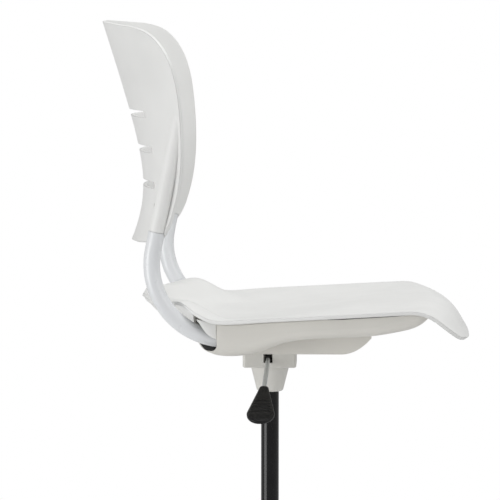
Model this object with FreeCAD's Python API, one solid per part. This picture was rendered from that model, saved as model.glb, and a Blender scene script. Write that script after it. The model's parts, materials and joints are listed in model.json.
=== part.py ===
import FreeCAD, Part
import math
import os

V = FreeCAD.Vector

# A task stool: hard seat and back shells on a gas lift, with a five-legged caster base and a foot ring.
# Millimetres. The origin is on the floor under the column, +X is the sitter's forward, +Z is up.

# Clearances
running_fit = 0.05
free_gap = 0.3

# Casters
caster_count = 5
wheel_diameter = 50.0
wheel_width = 18.0
wheel_spacing = 14.0
wheel_edge = 5.0
axle_radius = 4.0
caster_trail = 20.0
caster_height = 57.0
fender_wall = 2.4
fender_gap = 1.8
web_thickness = 10.0
stem_radius = 5.5
stem_collar = 3.0
stem_length = 24.0

# Five-legged base
stem_circle_radius = 290.0
leg_wall = 3.5
leg_root_half_width = 27.0
leg_tip_half_width = 17.0
leg_root_height = 64.0
leg_tip_height = 29.0
leg_crown = 7.0
leg_rib_thickness = 2.5
leg_rib_pitch = 55.0
base_hub_radius = 40.0
base_hub_height = 78.0
column_socket_drop = 1.6

# Gas lift
column_radius = 25.0
column_wall = 2.0
column_height = 388.0
plate_thickness = 4.0
bearing_height = 6.0
bearing_roller_count = 12
bush_length = 90.0
bush_cap = 8.0
cylinder_radius = 14.0
cylinder_wall = 2.0
cylinder_taper = 0.7
cylinder_inside = 105.0
rod_radius = 5.0
guide_length = 24.0
piston_length = 14.0
lift_down = 220.0
lift_up = 30.0
lift_clear = 12.0
valve_radius = 3.0
valve_proud = 6.0

# Foot ring
ring_height = 300.0
ring_radius = 225.0
ring_tube_radius = 11.0
ring_tube_wall = 1.8
ring_bore_sides = 12
spoke_count = 4
spoke_radius = 6.0
spoke_rise = 16.0
collar_height = 62.0
collar_wall = 4.0
liner_wall = 3.0
knob_radius = 19.0
knob_length = 22.0
knob_stud_radius = 5.0
knob_lobes = 6

# Hub under the seat
cone_bottom_radius = 20.4
cone_top_radius = 30.6
cone_height = 40.7
hub_block_x = 83.4
hub_block_y = 82.0
hub_block_height = 35.9
hub_pocket_radius = 33.0
hub_pocket_depth = 30.0
hub_bolt_offset = 32.0
hub_bolt_radius = 3.0

# Lever
lever_radius = 3.5
lever_slope = 24.6
lever_skew = -3.1
lever_pivot_reach = 28.0
lever_inner_end = 7.0
lever_bend_reach = 31.0
lever_bend_radius = 14.0
lever_pin_radius = 2.0
paddle_start = 92.0
paddle_length = 83.0
paddle_neck_width = 13.0
paddle_end_width = 41.0
paddle_neck_thickness = 11.0
paddle_end_thickness = 13.0
paddle_ribs = 5

# Seat shell, heights above the underside of the housing
seat_thickness = 5.5
seat_level = 62.0
seat_slope = 3.1
seat_half_width = 219.0
seat_rear_reach = 197.0
seat_front_reach = 309.0
seat_dish = 16.0
seat_dish_x = -40.0
seat_dish_length = 250.0
rim_rise = 34.0
rim_width_middle = 26.0
rim_width_side = 61.0
rim_rear_width = 60.0
rim_overhang = 6.6
rim_bow = 27.0
rim_bow_y = 116.0
rim_side_y = 150.0
rim_plan_radius = 260.0
rim_fade_x = -156.0
rim_fade_sweep = 1.15
rim_fade_length = 129.0
fall_start = 240.0
fall_sweep = 28.0
fall_radius = 62.0
fall_angle_middle = 60.0
fall_angle_side = 40.0
seat_boss_radius = 8.0
seat_screw_front = 95.0
seat_screw_rear = -35.0
seat_screw_side = 95.0
seat_screw_radius = 2.4

# Side rails and housing
seat_overhang = 11.0
rail_width = 58.0
rail_wall = 3.0
rail_lower_edge_radius = 16.0
rail_rise = 2.0
rail_rear_x = -112.0
rail_front_x = 247.0
rail_shallow = 24.5
rail_mouth_x = -75.0
seat_clear = 0.8
housing_wall = 4.0
housing_front_x = 157.0
housing_rear_x = -95.0
housing_toe = 25.0
tower_height = 26.0
tower_radius = 9.0
rail_bolt_radius = 3.0

# Uprights
tube_radius = 12.5
tube_wall = 2.0
tube_inset = 26.0
tube_level = 26.4
tube_end_x = -22.0
tube_bend_x = -60.5
tube_bend_radius = 113.0
tube_lean = 11.6
tube_neck = 26.4
spigot_radius = 9.5
spigot_length = 80.0
pivot_x = -45.0
pivot_pin_radius = 5.0
pivot_bush_wall = 1.5
pivot_sleeve_wall = 2.5
buffer_length = 12.0
bridge_thickness = 3.5
recline_rise = 7.2

# Back shell, heights above the underside of the housing
back_thickness = 5.0
back_half_width = 200.0
back_top = 501.0
back_bottom = 164.0
back_corner_top = 68.0
back_lumbar_x = -197.4
back_lumbar_z = 249.0
back_lean = 0.33
back_lean_softness = 24.0
back_tail_curve = 400.0
back_wrap_low = 60.0
back_wrap_high = 96.0
back_wrap_low_z = 202.0
back_wrap_high_z = 407.0
slot_count = 3
slot_pitch = 54.0
slot_middle_z = 308.0
slot_height = 10.0
slot_half_length = 125.0
sleeve_radius = 12.2
sleeve_length = 184.0
back_screw_radius = 2.2
back_screw_head = 1.9

# Levels that follow from the sizes above
wheel_radius = wheel_diameter / 2
leg_z = caster_height + stem_collar
column_z = leg_z + plate_thickness
column_top = column_z + column_height
bush_top = column_top + bush_cap
hub_z = bush_top + lift_clear + lift_down
block_z = hub_z + cone_height
pan_z = block_z + hub_block_height
cylinder_top = pan_z - hub_pocket_depth + 1.0
valve_top = cylinder_top + valve_proud
lever_z = valve_top + lever_radius + running_fit
column_bore = column_radius - column_wall
rail_outer_y = seat_half_width - seat_overhang
rail_inner_y = rail_outer_y - rail_width
tube_y = rail_outer_y - tube_inset
seat_slope_angle = math.radians(seat_slope)
tube_lean_angle = math.radians(tube_lean)


def moved(shape, x=0.0, y=0.0, z=0.0):
    copy = shape.copy()
    copy.translate(V(x, y, z))
    return copy


def turned(shape, angle, centre=V(0, 0, 0), axis=V(0, 0, 1)):
    copy = shape.copy()
    copy.rotate(centre, axis, angle)
    return copy


def mirrored(shape):
    return shape.mirror(V(0, 0, 0), V(0, 1, 0))


def both_sides(shape):
    return Part.makeCompound([shape, mirrored(shape)])


def block(x0, x1, y0, y1, z0, z1):
    return Part.makeBox(x1 - x0, y1 - y0, z1 - z0, V(x0, y0, z0))


def bar(radius, start, end):
    return Part.makeCylinder(radius, (end - start).Length, start, end - start)


def ring(outer, inner, z0, z1):
    return bar(outer, V(0, 0, z0), V(0, 0, z1)).cut(bar(inner, V(0, 0, z0 - 1), V(0, 0, z1 + 1)))


def lathe(outline):
    points = [V(radius, 0, z) for radius, z in outline]
    face = Part.Face(Part.makePolygon(points + points[:1]))
    return face.revolve(V(0, 0, 0), V(0, 0, 1), 360)


def hexagon(across, z0, z1, x=0.0, y=0.0):
    corner = across / math.sqrt(3)
    angles = [math.radians(60 * i) for i in range(7)]
    points = [V(x + corner * math.cos(a), y + corner * math.sin(a), z0) for a in angles]
    return Part.Face(Part.makePolygon(points)).extrude(V(0, 0, z1 - z0))


def line(start, end):
    return Part.LineSegment(start, end).toShape()


def arc(start, through, end):
    return Part.Arc(start, through, end).toShape()


def bezier(*points):
    curve = Part.BezierCurve()
    curve.setPoles(list(points))
    return curve.toShape()


def pipe(path, radius):
    start = path[0].Vertexes[0].Point
    profile = Part.Wire(Part.makeCircle(radius, start, path[0].tangentAt(path[0].FirstParameter)))
    return Part.Wire(path).makePipeShell([profile], True, True)


def smooth_face(rows):
    surface = Part.BSplineSurface()
    surface.interpolate(rows)
    return surface.toShape()


def spaced(start, end, count):
    return [start + (end - start) * i / (count - 1) for i in range(count)]


# Casters

def caster_wheel(side):
    inner = wheel_spacing / 2
    cap = wheel_width * 0.28
    recess = wheel_radius - wheel_edge - 5.0
    bore = axle_radius + running_fit
    outline = [(bore, 0), (wheel_radius - 1.5, 0), (wheel_radius, 1.5),
               (wheel_radius, wheel_width - wheel_edge),
               (wheel_radius - wheel_edge * 0.3, wheel_width - wheel_edge * 0.3),
               (wheel_radius - wheel_edge, wheel_width), (recess, wheel_width),
               (recess - 1, wheel_width - 2.5), (axle_radius + 5, wheel_width - 2.5),
               (axle_radius + 4, wheel_width - 1), (0, wheel_width - 1),
               (0, wheel_width - cap), (bore, wheel_width - cap)]
    wheel = turned(lathe(outline), -90, axis=V(1, 0, 0))
    wheel = moved(wheel, caster_trail, inner, wheel_radius)
    return wheel if side > 0 else mirrored(wheel)


def caster_axle():
    half = wheel_spacing / 2 + wheel_width * 0.72 - free_gap
    return bar(axle_radius, V(caster_trail, -half, wheel_radius), V(caster_trail, half, wheel_radius))


def caster_hood():
    axle_point = V(caster_trail, 0, wheel_radius)
    inner = wheel_radius + fender_gap
    outer = inner + fender_wall
    half = wheel_spacing / 2 + wheel_width
    across = V(0, half, 0)
    fender = bar(outer, axle_point - across, axle_point + across).cut(
        bar(inner, axle_point - across * 2, axle_point + across * 2))
    fender = fender.cut(block(-200, 200, -200, 200, -10, wheel_radius + 4))
    fender = fender.cut(turned(block(caster_trail, 200, -200, 200, -10, wheel_radius + 2),
                               -22, axle_point, V(0, 1, 0)))
    half_web = V(0, web_thickness / 2, 0)
    web = bar(outer - 0.5, axle_point - half_web, axle_point + half_web)
    web = web.cut(block(-200, 200, -200, 200, -10, wheel_radius - axle_radius * 2.2))
    boss = bar(stem_radius + 3.5, V(0, 0, wheel_radius + 6), V(0, 0, caster_height))
    boss = boss.cut(bar(inner, axle_point - across, axle_point - half_web))
    boss = boss.cut(bar(inner, axle_point + half_web, axle_point + across))
    hood = fender.fuse([web, boss]).removeSplitter()
    hood = hood.cut(bar(stem_radius, V(0, 0, wheel_radius + 10), V(0, 0, caster_height + 1)))
    return hood.cut(bar(axle_radius, axle_point - across, axle_point + across))


def caster_stem():
    stem = bar(stem_radius, V(0, 0, wheel_radius + 10), V(0, 0, leg_z + stem_length))
    stem = stem.fuse(bar(stem_radius + 2.5, V(0, 0, caster_height), V(0, 0, leg_z)))
    level = leg_z + stem_length * 0.6
    groove = ring(stem_radius + 1, stem_radius - 0.8, level, level + 2)
    return stem.cut(groove).removeSplitter()


def at_caster(shape, index):
    return turned(moved(shape, stem_circle_radius), 360 / caster_count * index)


# Base

def leg_section(x, half_width, z0, height, inset=0.0):
    half = half_width - inset
    floor = z0 - (1.0 if inset else 0.0)
    side = z0 + height - leg_crown - inset
    top = z0 + height - inset
    corners = [V(x, -half, floor), V(x, half, floor), V(x, half * 0.86, side), V(x, -half * 0.86, side)]
    return Part.Wire([line(corners[0], corners[1]), line(corners[1], corners[2]),
                      arc(corners[2], V(x, 0, top), corners[3]), line(corners[3], corners[0])])


def leg_loft(inset=0.0):
    start = base_hub_radius * 0.6
    middle = (start + stem_circle_radius) / 2
    middle_half = (leg_root_half_width + leg_tip_half_width) / 2 - 1.0
    middle_height = leg_tip_height + (leg_root_height - leg_tip_height) * 0.36
    root = leg_section(start, leg_root_half_width, leg_z, leg_root_height, inset)
    waist = leg_section(middle, middle_half, leg_z, middle_height, inset)
    tip = leg_section(stem_circle_radius, leg_tip_half_width, leg_z, leg_tip_height, inset)
    return Part.makeLoft([root, waist, tip], True)


def base_leg():
    outer = leg_loft()
    leg = outer.cut(leg_loft(leg_wall))
    first = base_hub_radius + leg_rib_pitch * 0.8
    count = int((stem_circle_radius - leg_tip_half_width - first) / leg_rib_pitch) + 1
    for i in range(count):
        x = first + leg_rib_pitch * i
        rib = block(x, x + leg_rib_thickness, -leg_root_half_width, leg_root_half_width,
                    leg_z + leg_wall, leg_z + leg_root_height)
        leg = leg.fuse(rib.common(outer))
    tip_radius = leg_tip_half_width + 2.0
    tip = bar(tip_radius, V(stem_circle_radius, 0, leg_z), V(stem_circle_radius, 0, leg_z + leg_tip_height))
    top_edge = [e for e in tip.Edges if e.BoundBox.ZMin > leg_z + leg_tip_height - 0.1 and e.Closed]
    tip = tip.makeChamfer(leg_crown * 0.5, top_edge)
    return leg.fuse(tip)


def base_star():
    leg = base_leg()
    top_z = leg_z + base_hub_height
    hub = lathe([(0, leg_z), (base_hub_radius, leg_z), (base_hub_radius, leg_z + leg_wall),
                 (base_hub_radius - 6, top_z - 3), (base_hub_radius - 9, top_z), (0, top_z)])
    legs = [turned(leg, 360 / caster_count * i) for i in range(caster_count)]
    star = hub.fuse(legs).removeSplitter()
    socket = stem_radius + running_fit
    hole = bar(socket, V(0, 0, leg_z - 1), V(0, 0, leg_z + stem_length + free_gap))
    holes = [at_caster(hole, i) for i in range(caster_count)]
    star = star.cut(holes)
    low = column_radius - column_socket_drop + running_fit
    bore = lathe([(0, leg_z - 1), (low, leg_z - 1), (low, column_z), (column_radius + running_fit, top_z),
                  (column_radius + running_fit, top_z + 1), (0, top_z + 1)])
    return star.cut(bore)


# Gas lift

def column_tube():
    taper_z = leg_z + base_hub_height
    low = column_radius - column_socket_drop
    outer = lathe([(0, column_z), (low, column_z), (column_radius, taper_z), (column_radius, column_top),
                   (0, column_top)])
    low_bore = low - column_wall
    inner = lathe([(0, column_z - 1), (low_bore, column_z - 1), (low_bore, column_z), (column_bore, taper_z),
                   (column_bore, column_top + 1), (0, column_top + 1)])
    return outer.cut(inner)


def column_plate():
    low = column_radius - column_socket_drop
    return ring(low, rod_radius + running_fit, column_z - plate_thickness, column_z)


def thrust_bearing():
    outer = rod_radius + 8.0
    inner = rod_radius + running_fit
    washer = bearing_height / 4
    middle = column_z + bearing_height / 2
    pieces = [ring(outer, inner, column_z, column_z + washer),
              ring(outer, inner, column_z + bearing_height - washer, column_z + bearing_height)]
    roller = bar(bearing_height / 4, V(inner + 1.5, 0, middle), V(outer - 1.0, 0, middle))
    for i in range(bearing_roller_count):
        pieces.append(turned(roller, 360 * i / bearing_roller_count))
    return Part.makeCompound(pieces)


def guide_bush():
    inner = cylinder_radius + running_fit
    sleeve = ring(column_bore - running_fit, inner, column_top - bush_length, column_top)
    half_cap = bush_cap * 0.5
    cap = lathe([(inner, column_top), (column_radius, column_top), (column_radius, column_top + half_cap),
                 (column_radius - half_cap, bush_top), (inner, bush_top)])
    return sleeve.fuse(cap).removeSplitter()


def cylinder_bottom():
    return bush_top - cylinder_inside


def gas_cylinder():
    bottom = cylinder_bottom()
    bore = cylinder_radius - cylinder_wall
    tip = cylinder_radius - cylinder_taper
    plug_z = cylinder_top - 20.0
    body = lathe([(0, bottom), (cylinder_radius, bottom), (cylinder_radius, hub_z), (tip, cylinder_top),
                  (0, cylinder_top)])
    body = body.cut(bar(bore, V(0, 0, bottom - 1), V(0, 0, plug_z)))
    return body.cut(bar(valve_radius + running_fit, V(0, 0, plug_z - 1), V(0, 0, cylinder_top + 1)))


def rod_guide():
    bottom = cylinder_bottom()
    outer = cylinder_radius - cylinder_wall - running_fit
    return ring(outer, rod_radius + running_fit, bottom, bottom + guide_length)


def rod_top():
    return cylinder_bottom() + guide_length + lift_up + free_gap + piston_length


def piston_rod():
    rod = bar(rod_radius, V(0, 0, leg_z - 5), V(0, 0, rod_top() - piston_length))
    shoulder_z = column_z + bearing_height + running_fit
    rod = rod.fuse(bar(rod_radius + 4, V(0, 0, shoulder_z), V(0, 0, shoulder_z + 4)))
    clip_z = leg_z - 2.0
    return rod.cut(ring(rod_radius + 1, rod_radius - 1, clip_z - 1.5, clip_z)).removeSplitter()


def rod_clip():
    clip_z = leg_z - 2.0
    clip = ring(rod_radius + 4, rod_radius - 1 + running_fit, clip_z - 1.4, clip_z - 0.05)
    return clip.cut(block(0, rod_radius + 5, -rod_radius * 0.6, rod_radius * 0.6, clip_z - 3, clip_z + 1))


def piston():
    top = rod_top()
    radius = cylinder_radius - cylinder_wall - running_fit
    body = bar(radius, V(0, 0, top - piston_length), V(0, 0, top))
    groove = ring(radius + 1, radius - 1.5, top - piston_length * 0.6, top - piston_length * 0.4)
    return body.cut(groove)


def valve_pin():
    return bar(valve_radius, V(0, 0, cylinder_top - 19.0), V(0, 0, valve_top))


# Foot ring

def collar_inner_radius():
    return column_radius + free_gap + liner_wall


def ring_solid(tube_radius_here):
    return Part.makeTorus(ring_radius, tube_radius_here, V(0, 0, ring_height))


def foot_ring():
    bore = ring_tube_radius - ring_tube_wall
    corners = [2 * math.pi * i / ring_bore_sides for i in range(ring_bore_sides)]
    inside = lathe([(ring_radius + bore * math.cos(t), ring_height + bore * math.sin(t)) for t in corners])
    return ring_solid(ring_tube_radius).cut(inside)


def foot_ring_spokes():
    collar_outer = collar_inner_radius() + collar_wall
    solids = []
    for i in range(spoke_count):
        inner = V(collar_outer - collar_wall, 0, ring_height + spoke_rise)
        outer = V(ring_radius, 0, ring_height)
        spoke = bar(spoke_radius, inner, outer)
        spoke = spoke.cut(ring_solid(ring_tube_radius))
        spoke = spoke.cut(bar(collar_outer, V(0, 0, 0), V(0, 0, column_top)))
        solid = max(spoke.Solids, key=lambda piece: piece.Volume)
        solids.append(turned(solid, 360 / spoke_count * (i + 0.5)))
    return Part.makeCompound(solids)


def collar_z():
    return ring_height + spoke_rise - collar_height / 2


def knob_z():
    return ring_height + spoke_rise


def foot_ring_collar():
    inner = collar_inner_radius()
    outer = inner + collar_wall
    collar = ring(outer, inner, collar_z(), collar_z() + collar_height)
    boss = bar(knob_stud_radius + 5, V(inner + 1, 0, knob_z()), V(outer + 8, 0, knob_z()))
    collar = collar.fuse(boss).removeSplitter()
    collar = collar.cut(bar(inner, V(0, 0, collar_z() - 1), V(0, 0, collar_z() + collar_height + 1)))
    return collar.cut(bar(knob_stud_radius + running_fit, V(0, 0, knob_z()), V(outer + 20, 0, knob_z())))


def foot_ring_liner():
    inner = column_radius + free_gap
    outer = collar_inner_radius()
    lip = 2.5
    top = collar_z() + collar_height
    liner = lathe([(inner, collar_z() - lip), (outer + collar_wall - 1, collar_z() - lip),
                   (outer + collar_wall - 1, collar_z()), (outer, collar_z()), (outer, top),
                   (outer + collar_wall - 1, top), (outer + collar_wall - 1, top + lip), (inner, top + lip)])
    return liner.cut(bar(knob_stud_radius + running_fit, V(0, 0, knob_z()), V(outer + 20, 0, knob_z())))


def foot_ring_knob():
    outer = collar_inner_radius() + collar_wall
    start = outer + 8 + free_gap * 2
    grip = Part.makeCylinder(knob_radius, knob_length)
    lobe_radius = knob_radius * 0.42
    for i in range(knob_lobes):
        angle = 2 * math.pi * i / knob_lobes
        centre = V(knob_radius * 1.18 * math.cos(angle), knob_radius * 1.18 * math.sin(angle), -1)
        grip = grip.cut(Part.makeCylinder(lobe_radius, knob_length + 2, centre))
    grip = grip.fuse(Part.makeCone(knob_radius * 0.7, knob_radius * 0.55, 5.0, V(0, 0, knob_length)))
    grip = turned(grip, 90, axis=V(0, 1, 0))
    grip = moved(grip, start, 0, knob_z())
    stud = bar(knob_stud_radius, V(column_radius + free_gap, 0, knob_z()), V(start + 6, 0, knob_z()))
    return grip.fuse(stud).removeSplitter()


# Hub and lever

def lever_lug(x0, x1):
    pin_drop = lever_z - (pan_z - hub_pocket_depth)
    half = lever_pin_radius + 2.5
    lug = block(x0, x1, -lever_pivot_reach - half, -lever_pivot_reach + half, lever_z - pin_drop - 0.5,
                lever_z + half)
    return turned(lug, lever_skew)


def lever_pin():
    half = lever_radius + 8.0
    pin = bar(lever_pin_radius, V(-half, -lever_pivot_reach, lever_z), V(half, -lever_pivot_reach, lever_z))
    return turned(pin, lever_skew)


def hub():
    half_x = hub_block_x / 2
    half_y = hub_block_y / 2
    body = block(-half_x, half_x, -half_y, half_y, block_z, pan_z)
    upright = [e for e in body.Edges if abs(e.tangentAt(0).z) > 0.9]
    body = body.makeFillet(5.0, upright)
    lower = [e for e in body.Edges if e.BoundBox.ZMax < block_z + 0.1]
    body = body.makeChamfer(1.6, lower)
    cone = Part.makeCone(cone_bottom_radius, cone_top_radius, cone_height, V(0, 0, hub_z))
    rim = [e for e in cone.Edges if e.BoundBox.ZMax < hub_z + 0.1 and e.Closed]
    cone = cone.makeChamfer(1.6, rim)
    body = body.fuse(cone).removeSplitter()
    pocket_z = pan_z - hub_pocket_depth
    body = body.cut(bar(hub_pocket_radius, V(0, 0, pocket_z), V(0, 0, pan_z + 1)))
    lug_gap = lever_radius + 2.0 + free_gap
    body = body.fuse([lever_lug(lug_gap, lug_gap + 4.5), lever_lug(-lug_gap - 4.5, -lug_gap)])
    body = body.cut(turned(block(-7.0, 7.0, -half_y - 5, -lever_pivot_reach, pan_z - hub_pocket_depth + 2,
                                 pan_z + 1), lever_skew))
    pin_hole = lever_pin()
    body = body.cut(pin_hole)
    bottom = cylinder_radius + running_fit
    tip = cylinder_radius - cylinder_taper + running_fit
    bore = lathe([(0, hub_z - 1), (bottom, hub_z - 1), (bottom, hub_z),
                  (tip, cylinder_top), (0, cylinder_top)])
    body = body.cut(bore)
    for x in (-hub_bolt_offset, hub_bolt_offset):
        for y in (-hub_bolt_offset, hub_bolt_offset):
            body = body.cut(bar(hub_bolt_radius, V(x, y, pan_z - 24), V(x, y, pan_z + 1)))
    return body.removeSplitter()


def hub_bolts():
    bolts = []
    for x in (-hub_bolt_offset, hub_bolt_offset):
        for y in (-hub_bolt_offset, hub_bolt_offset):
            floor = pan_z + housing_wall
            shank = bar(hub_bolt_radius, V(x, y, pan_z - 22), V(x, y, floor))
            bolts.append(shank.fuse(hexagon(hub_bolt_radius * 3.4, floor, floor + 4, x, y)).removeSplitter())
    return Part.makeCompound(bolts)


def lever_direction():
    angle = math.radians(lever_slope)
    return V(0, -math.cos(angle), -math.sin(angle))


def lever_bend_end():
    angle = math.radians(lever_slope)
    return V(0, -lever_bend_reach - lever_bend_radius * math.sin(angle),
             lever_z - lever_bend_radius * (1 - math.cos(angle)))


def lever_rod():
    half = math.radians(lever_slope / 2)
    start = V(0, lever_inner_end, lever_z)
    bend = V(0, -lever_bend_reach, lever_z)
    middle = V(0, -lever_bend_reach - lever_bend_radius * math.sin(half),
               lever_z - lever_bend_radius * (1 - math.cos(half)))
    bend_end = lever_bend_end()
    end = bend_end + lever_direction() * (paddle_start + paddle_length * 0.45)
    rod = pipe([line(start, bend), arc(bend, middle, bend_end), line(bend_end, end)], lever_radius)
    eye = bar(lever_radius + 1.5, V(-lever_radius - 1.5, -lever_pivot_reach, lever_z),
              V(lever_radius + 1.5, -lever_pivot_reach, lever_z))
    rod = rod.fuse(eye).removeSplitter()
    pivot = V(0, -lever_pivot_reach, lever_z)
    hole = bar(lever_pin_radius + running_fit, pivot - V(20, 0, 0), pivot + V(20, 0, 0))
    return turned(rod.cut(hole), lever_skew)


def paddle_section(along, width, thickness):
    # A lens: a flat upper side with rounded ends and a bellied underside.
    half = width / 2
    end = 0.32 * thickness
    top = 0.42 * thickness
    points = [V(-half, along, 0), V(-half + end, along, top), V(half - end, along, top), V(half, along, 0)]
    return Part.Wire([arc(points[0], V(-half + end * 0.25, along, top * 0.72), points[1]),
                      line(points[1], points[2]),
                      arc(points[2], V(half - end * 0.25, along, top * 0.72), points[3]),
                      arc(points[3], V(0, along, top - thickness), points[0])])


def lever_paddle():
    middle_width = paddle_neck_width + (paddle_end_width - paddle_neck_width) * 0.36
    middle_thickness = (paddle_neck_thickness + paddle_end_thickness) / 2
    sections = [paddle_section(0, paddle_neck_width, paddle_neck_thickness),
                paddle_section(-paddle_length * 0.45, middle_width, middle_thickness),
                paddle_section(-paddle_length * 0.85, paddle_end_width * 0.94, paddle_end_thickness),
                paddle_section(-paddle_length, paddle_end_width, paddle_end_thickness)]
    paddle = Part.makeLoft(sections, True)
    nose_radius = paddle_end_width * 1.3
    nose = bar(nose_radius, V(0, nose_radius - paddle_length, -50), V(0, nose_radius - paddle_length, 50))
    paddle = paddle.common(nose)
    rib_pitch = paddle_length * 0.085
    for i in range(paddle_ribs):
        y = -paddle_length * 0.58 - rib_pitch * i
        half = paddle_neck_width * 0.5 + (paddle_end_width - paddle_neck_width) * 0.16 * (1 + 0.5 * i)
        groove = block(-half, half, y - rib_pitch * 0.25, y + rib_pitch * 0.25,
                       0.42 * middle_thickness - 0.8, paddle_end_thickness)
        paddle = paddle.cut(groove)
    paddle = paddle.cut(bar(lever_radius, V(0, 1, 0), V(0, -paddle_length * 0.45, 0)))
    paddle = turned(paddle, lever_slope, axis=V(1, 0, 0))
    origin = lever_bend_end() + lever_direction() * paddle_start
    return turned(moved(paddle, origin.x, origin.y, origin.z), lever_skew)


# Seat shell

def rim_height(x, y):
    # A raised rear rim, steep in the middle and broad at the sides, whose crest fades out along the sides.
    bow = rim_bow * math.sin(math.pi / 2 * min(1.0, abs(y) / rim_bow_y)) ** 2
    ahead = x + seat_rear_reach + rim_overhang - bow - y * y / (2 * rim_plan_radius)
    side = min(1.0, abs(y) / rim_side_y) ** 2
    width = rim_width_middle + (rim_width_side - rim_width_middle) * side if ahead > 0 else rim_rear_width
    along = (x + rim_fade_sweep * (abs(y) - tube_y) - rim_fade_x) / rim_fade_length
    fade = math.cos(math.pi / 2 * max(0.0, min(1.0, along))) ** 2
    return rim_rise * math.exp(-(ahead / width) ** 2) * fade


def seat_height(x, y):
    along = max(-1.0, min(1.0, (x - seat_dish_x) / seat_dish_length))
    dip = seat_dish * math.cos(math.pi / 2 * along) ** 2 * (1 - (y / seat_half_width) ** 2)
    return pan_z + seat_level + math.tan(seat_slope_angle) * x - dip + rim_height(x, y)


def seat_point(along, y):
    # Along is the distance from the column axis over the sitting surface.
    # The surface bends down at a front line that is curved in plan.
    side = (y / seat_half_width) ** 2
    start = fall_start - fall_sweep * side
    if along <= start:
        return V(along, y, seat_height(along, y))
    most = math.radians(fall_angle_middle + (fall_angle_side - fall_angle_middle) * side)
    turn = min((along - start) / fall_radius, seat_slope_angle + most)
    beyond = along - start - turn * fall_radius
    angle = seat_slope_angle - turn
    bend_x = fall_radius * (math.sin(seat_slope_angle) - math.sin(angle))
    bend_z = fall_radius * (math.cos(angle) - math.cos(seat_slope_angle))
    x = start + bend_x + beyond * math.cos(angle)
    z = seat_height(start, y) + bend_z + beyond * math.sin(angle)
    return V(x, y, z)


def seat_point_under(along, y, depth):
    # A point at that depth below the sitting surface, square to it.
    point = seat_point(along, y)
    forward = seat_point(along + 0.5, y) - seat_point(along - 0.5, y)
    left = seat_point(along, y + 0.5) - seat_point(along, y - 0.5)
    return point - forward.cross(left).normalize() * depth


def seat_surface(depth=0.0):
    rear = spaced(-seat_rear_reach - 19, -88, 12)
    flat = spaced(-66, fall_start - fall_sweep - 30, 6)
    fall = spaced(fall_start - fall_sweep - 7, fall_start + 120, 13)
    across = spaced(-seat_half_width - 15, seat_half_width + 15, 21)
    rows = rear + flat + fall
    return smooth_face([[seat_point_under(along, y, depth) for y in across] for along in rows])


def seat_outline():
    half = seat_half_width
    front = seat_front_reach
    rear = -seat_rear_reach
    side = [(rear, 0), (rear + 6, half - 149), (rear + 22, half - 101), (rear + 45, half - 67),
            (rear + 67, half - 42), (rear + 82, half - 25), (rear + 102, half - 13), (rear + 137, half - 4),
            (front - 249, half), (front - 149, half), (front - 84, half - 2), (front - 47, half - 8),
            (front - 25, half - 24), (front - 14, half - 52), (front - 4, half - 109), (front, 0)]
    points = [V(x, y, 0) for x, y in side] + [V(x, -y, 0) for x, y in side[-2:0:-1]]
    curve = Part.BSplineCurve()
    curve.interpolate(points, PeriodicFlag=True)
    return Part.Face(Part.Wire(curve.toShape()))


def seat_screw_points():
    sides = (-seat_screw_side, seat_screw_side)
    return [(x, y) for x in (seat_screw_rear, seat_screw_front) for y in sides]


def seat_shell():
    surface = seat_surface()
    trimmed = surface.common(seat_outline().extrude(V(0, 0, pan_z * 2))).Faces[0]
    shell = trimmed.makeOffsetShape(-seat_thickness, 0.001, fill=True)
    for x, y in seat_screw_points():
        base = pan_z + tower_height
        top = seat_height(x, y) - seat_thickness * 0.5
        boss = bar(seat_boss_radius, V(x, y, base), V(x, y, top))
        shell = shell.fuse(boss)
        tip = top - seat_thickness * 0.5 - 1
        shell = shell.cut(bar(seat_screw_radius, V(x, y, base - 1), V(x, y, tip)))
    return shell.removeSplitter()


def space_above_seat():
    # Everything above the seat's underside, with the clearance that the rails and housing keep from it.
    return seat_surface(seat_thickness + seat_clear).extrude(V(0, 0, 200))


def seat_screws():
    screws = []
    for x, y in seat_screw_points():
        head_z = pan_z + tower_height * 0.6
        tip = seat_height(x, y) - seat_thickness - 2.0
        shank = bar(seat_screw_radius, V(x, y, head_z), V(x, y, tip))
        head = bar(seat_screw_radius * 1.9, V(x, y, head_z - 3), V(x, y, head_z))
        screws.append(shank.fuse(head).removeSplitter())
    return Part.makeCompound(screws)


# Rails and housing, modelled on the right-hand side

def rail_profile(inset):
    # Side view: one smooth curve from the tail, under the seat, to the nose; inset makes the inner wall.
    rear = rail_rear_x + inset
    front = rail_front_x - inset
    top = 100.0
    points = [(rear, top), (rear, 62), (rear + 5, 29), (rear + 15, 12), (rear + 30, 4), (rear + 50, 0.8),
              (rear + 70, 1.2), (rear + 100, 7), (rear + 130, 18.5), (rear + 157, rail_shallow),
              (rear + 212, rail_shallow + 4), (front - 90, rail_shallow + 7), (front - 48, rail_shallow + 14),
              (front - 18, rail_shallow + 24), (front, rail_shallow + 42), (front + 8, top)]
    points = [V(x, 0, pan_z + rail_rise + z + inset) for x, z in points]
    curve = Part.BSplineCurve()
    curve.interpolate(points)
    return Part.Face(Part.Wire([curve.toShape(), line(points[-1], points[0])]))


def rail_body(inset):
    # The moulding's outside, or with an inset the space inside it, rounded along its lower outer edge.
    outer = -rail_outer_y + inset
    width = rail_outer_y - rail_inner_y - 2 * inset
    body = moved(rail_profile(inset), 0, outer).extrude(V(0, width, 0))
    level = pan_z + rail_shallow
    edges = [e for e in body.Edges if e.BoundBox.YMax < outer + 0.1 and e.BoundBox.ZMin < level]
    return body.makeFillet(rail_lower_edge_radius - inset, edges)


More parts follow.
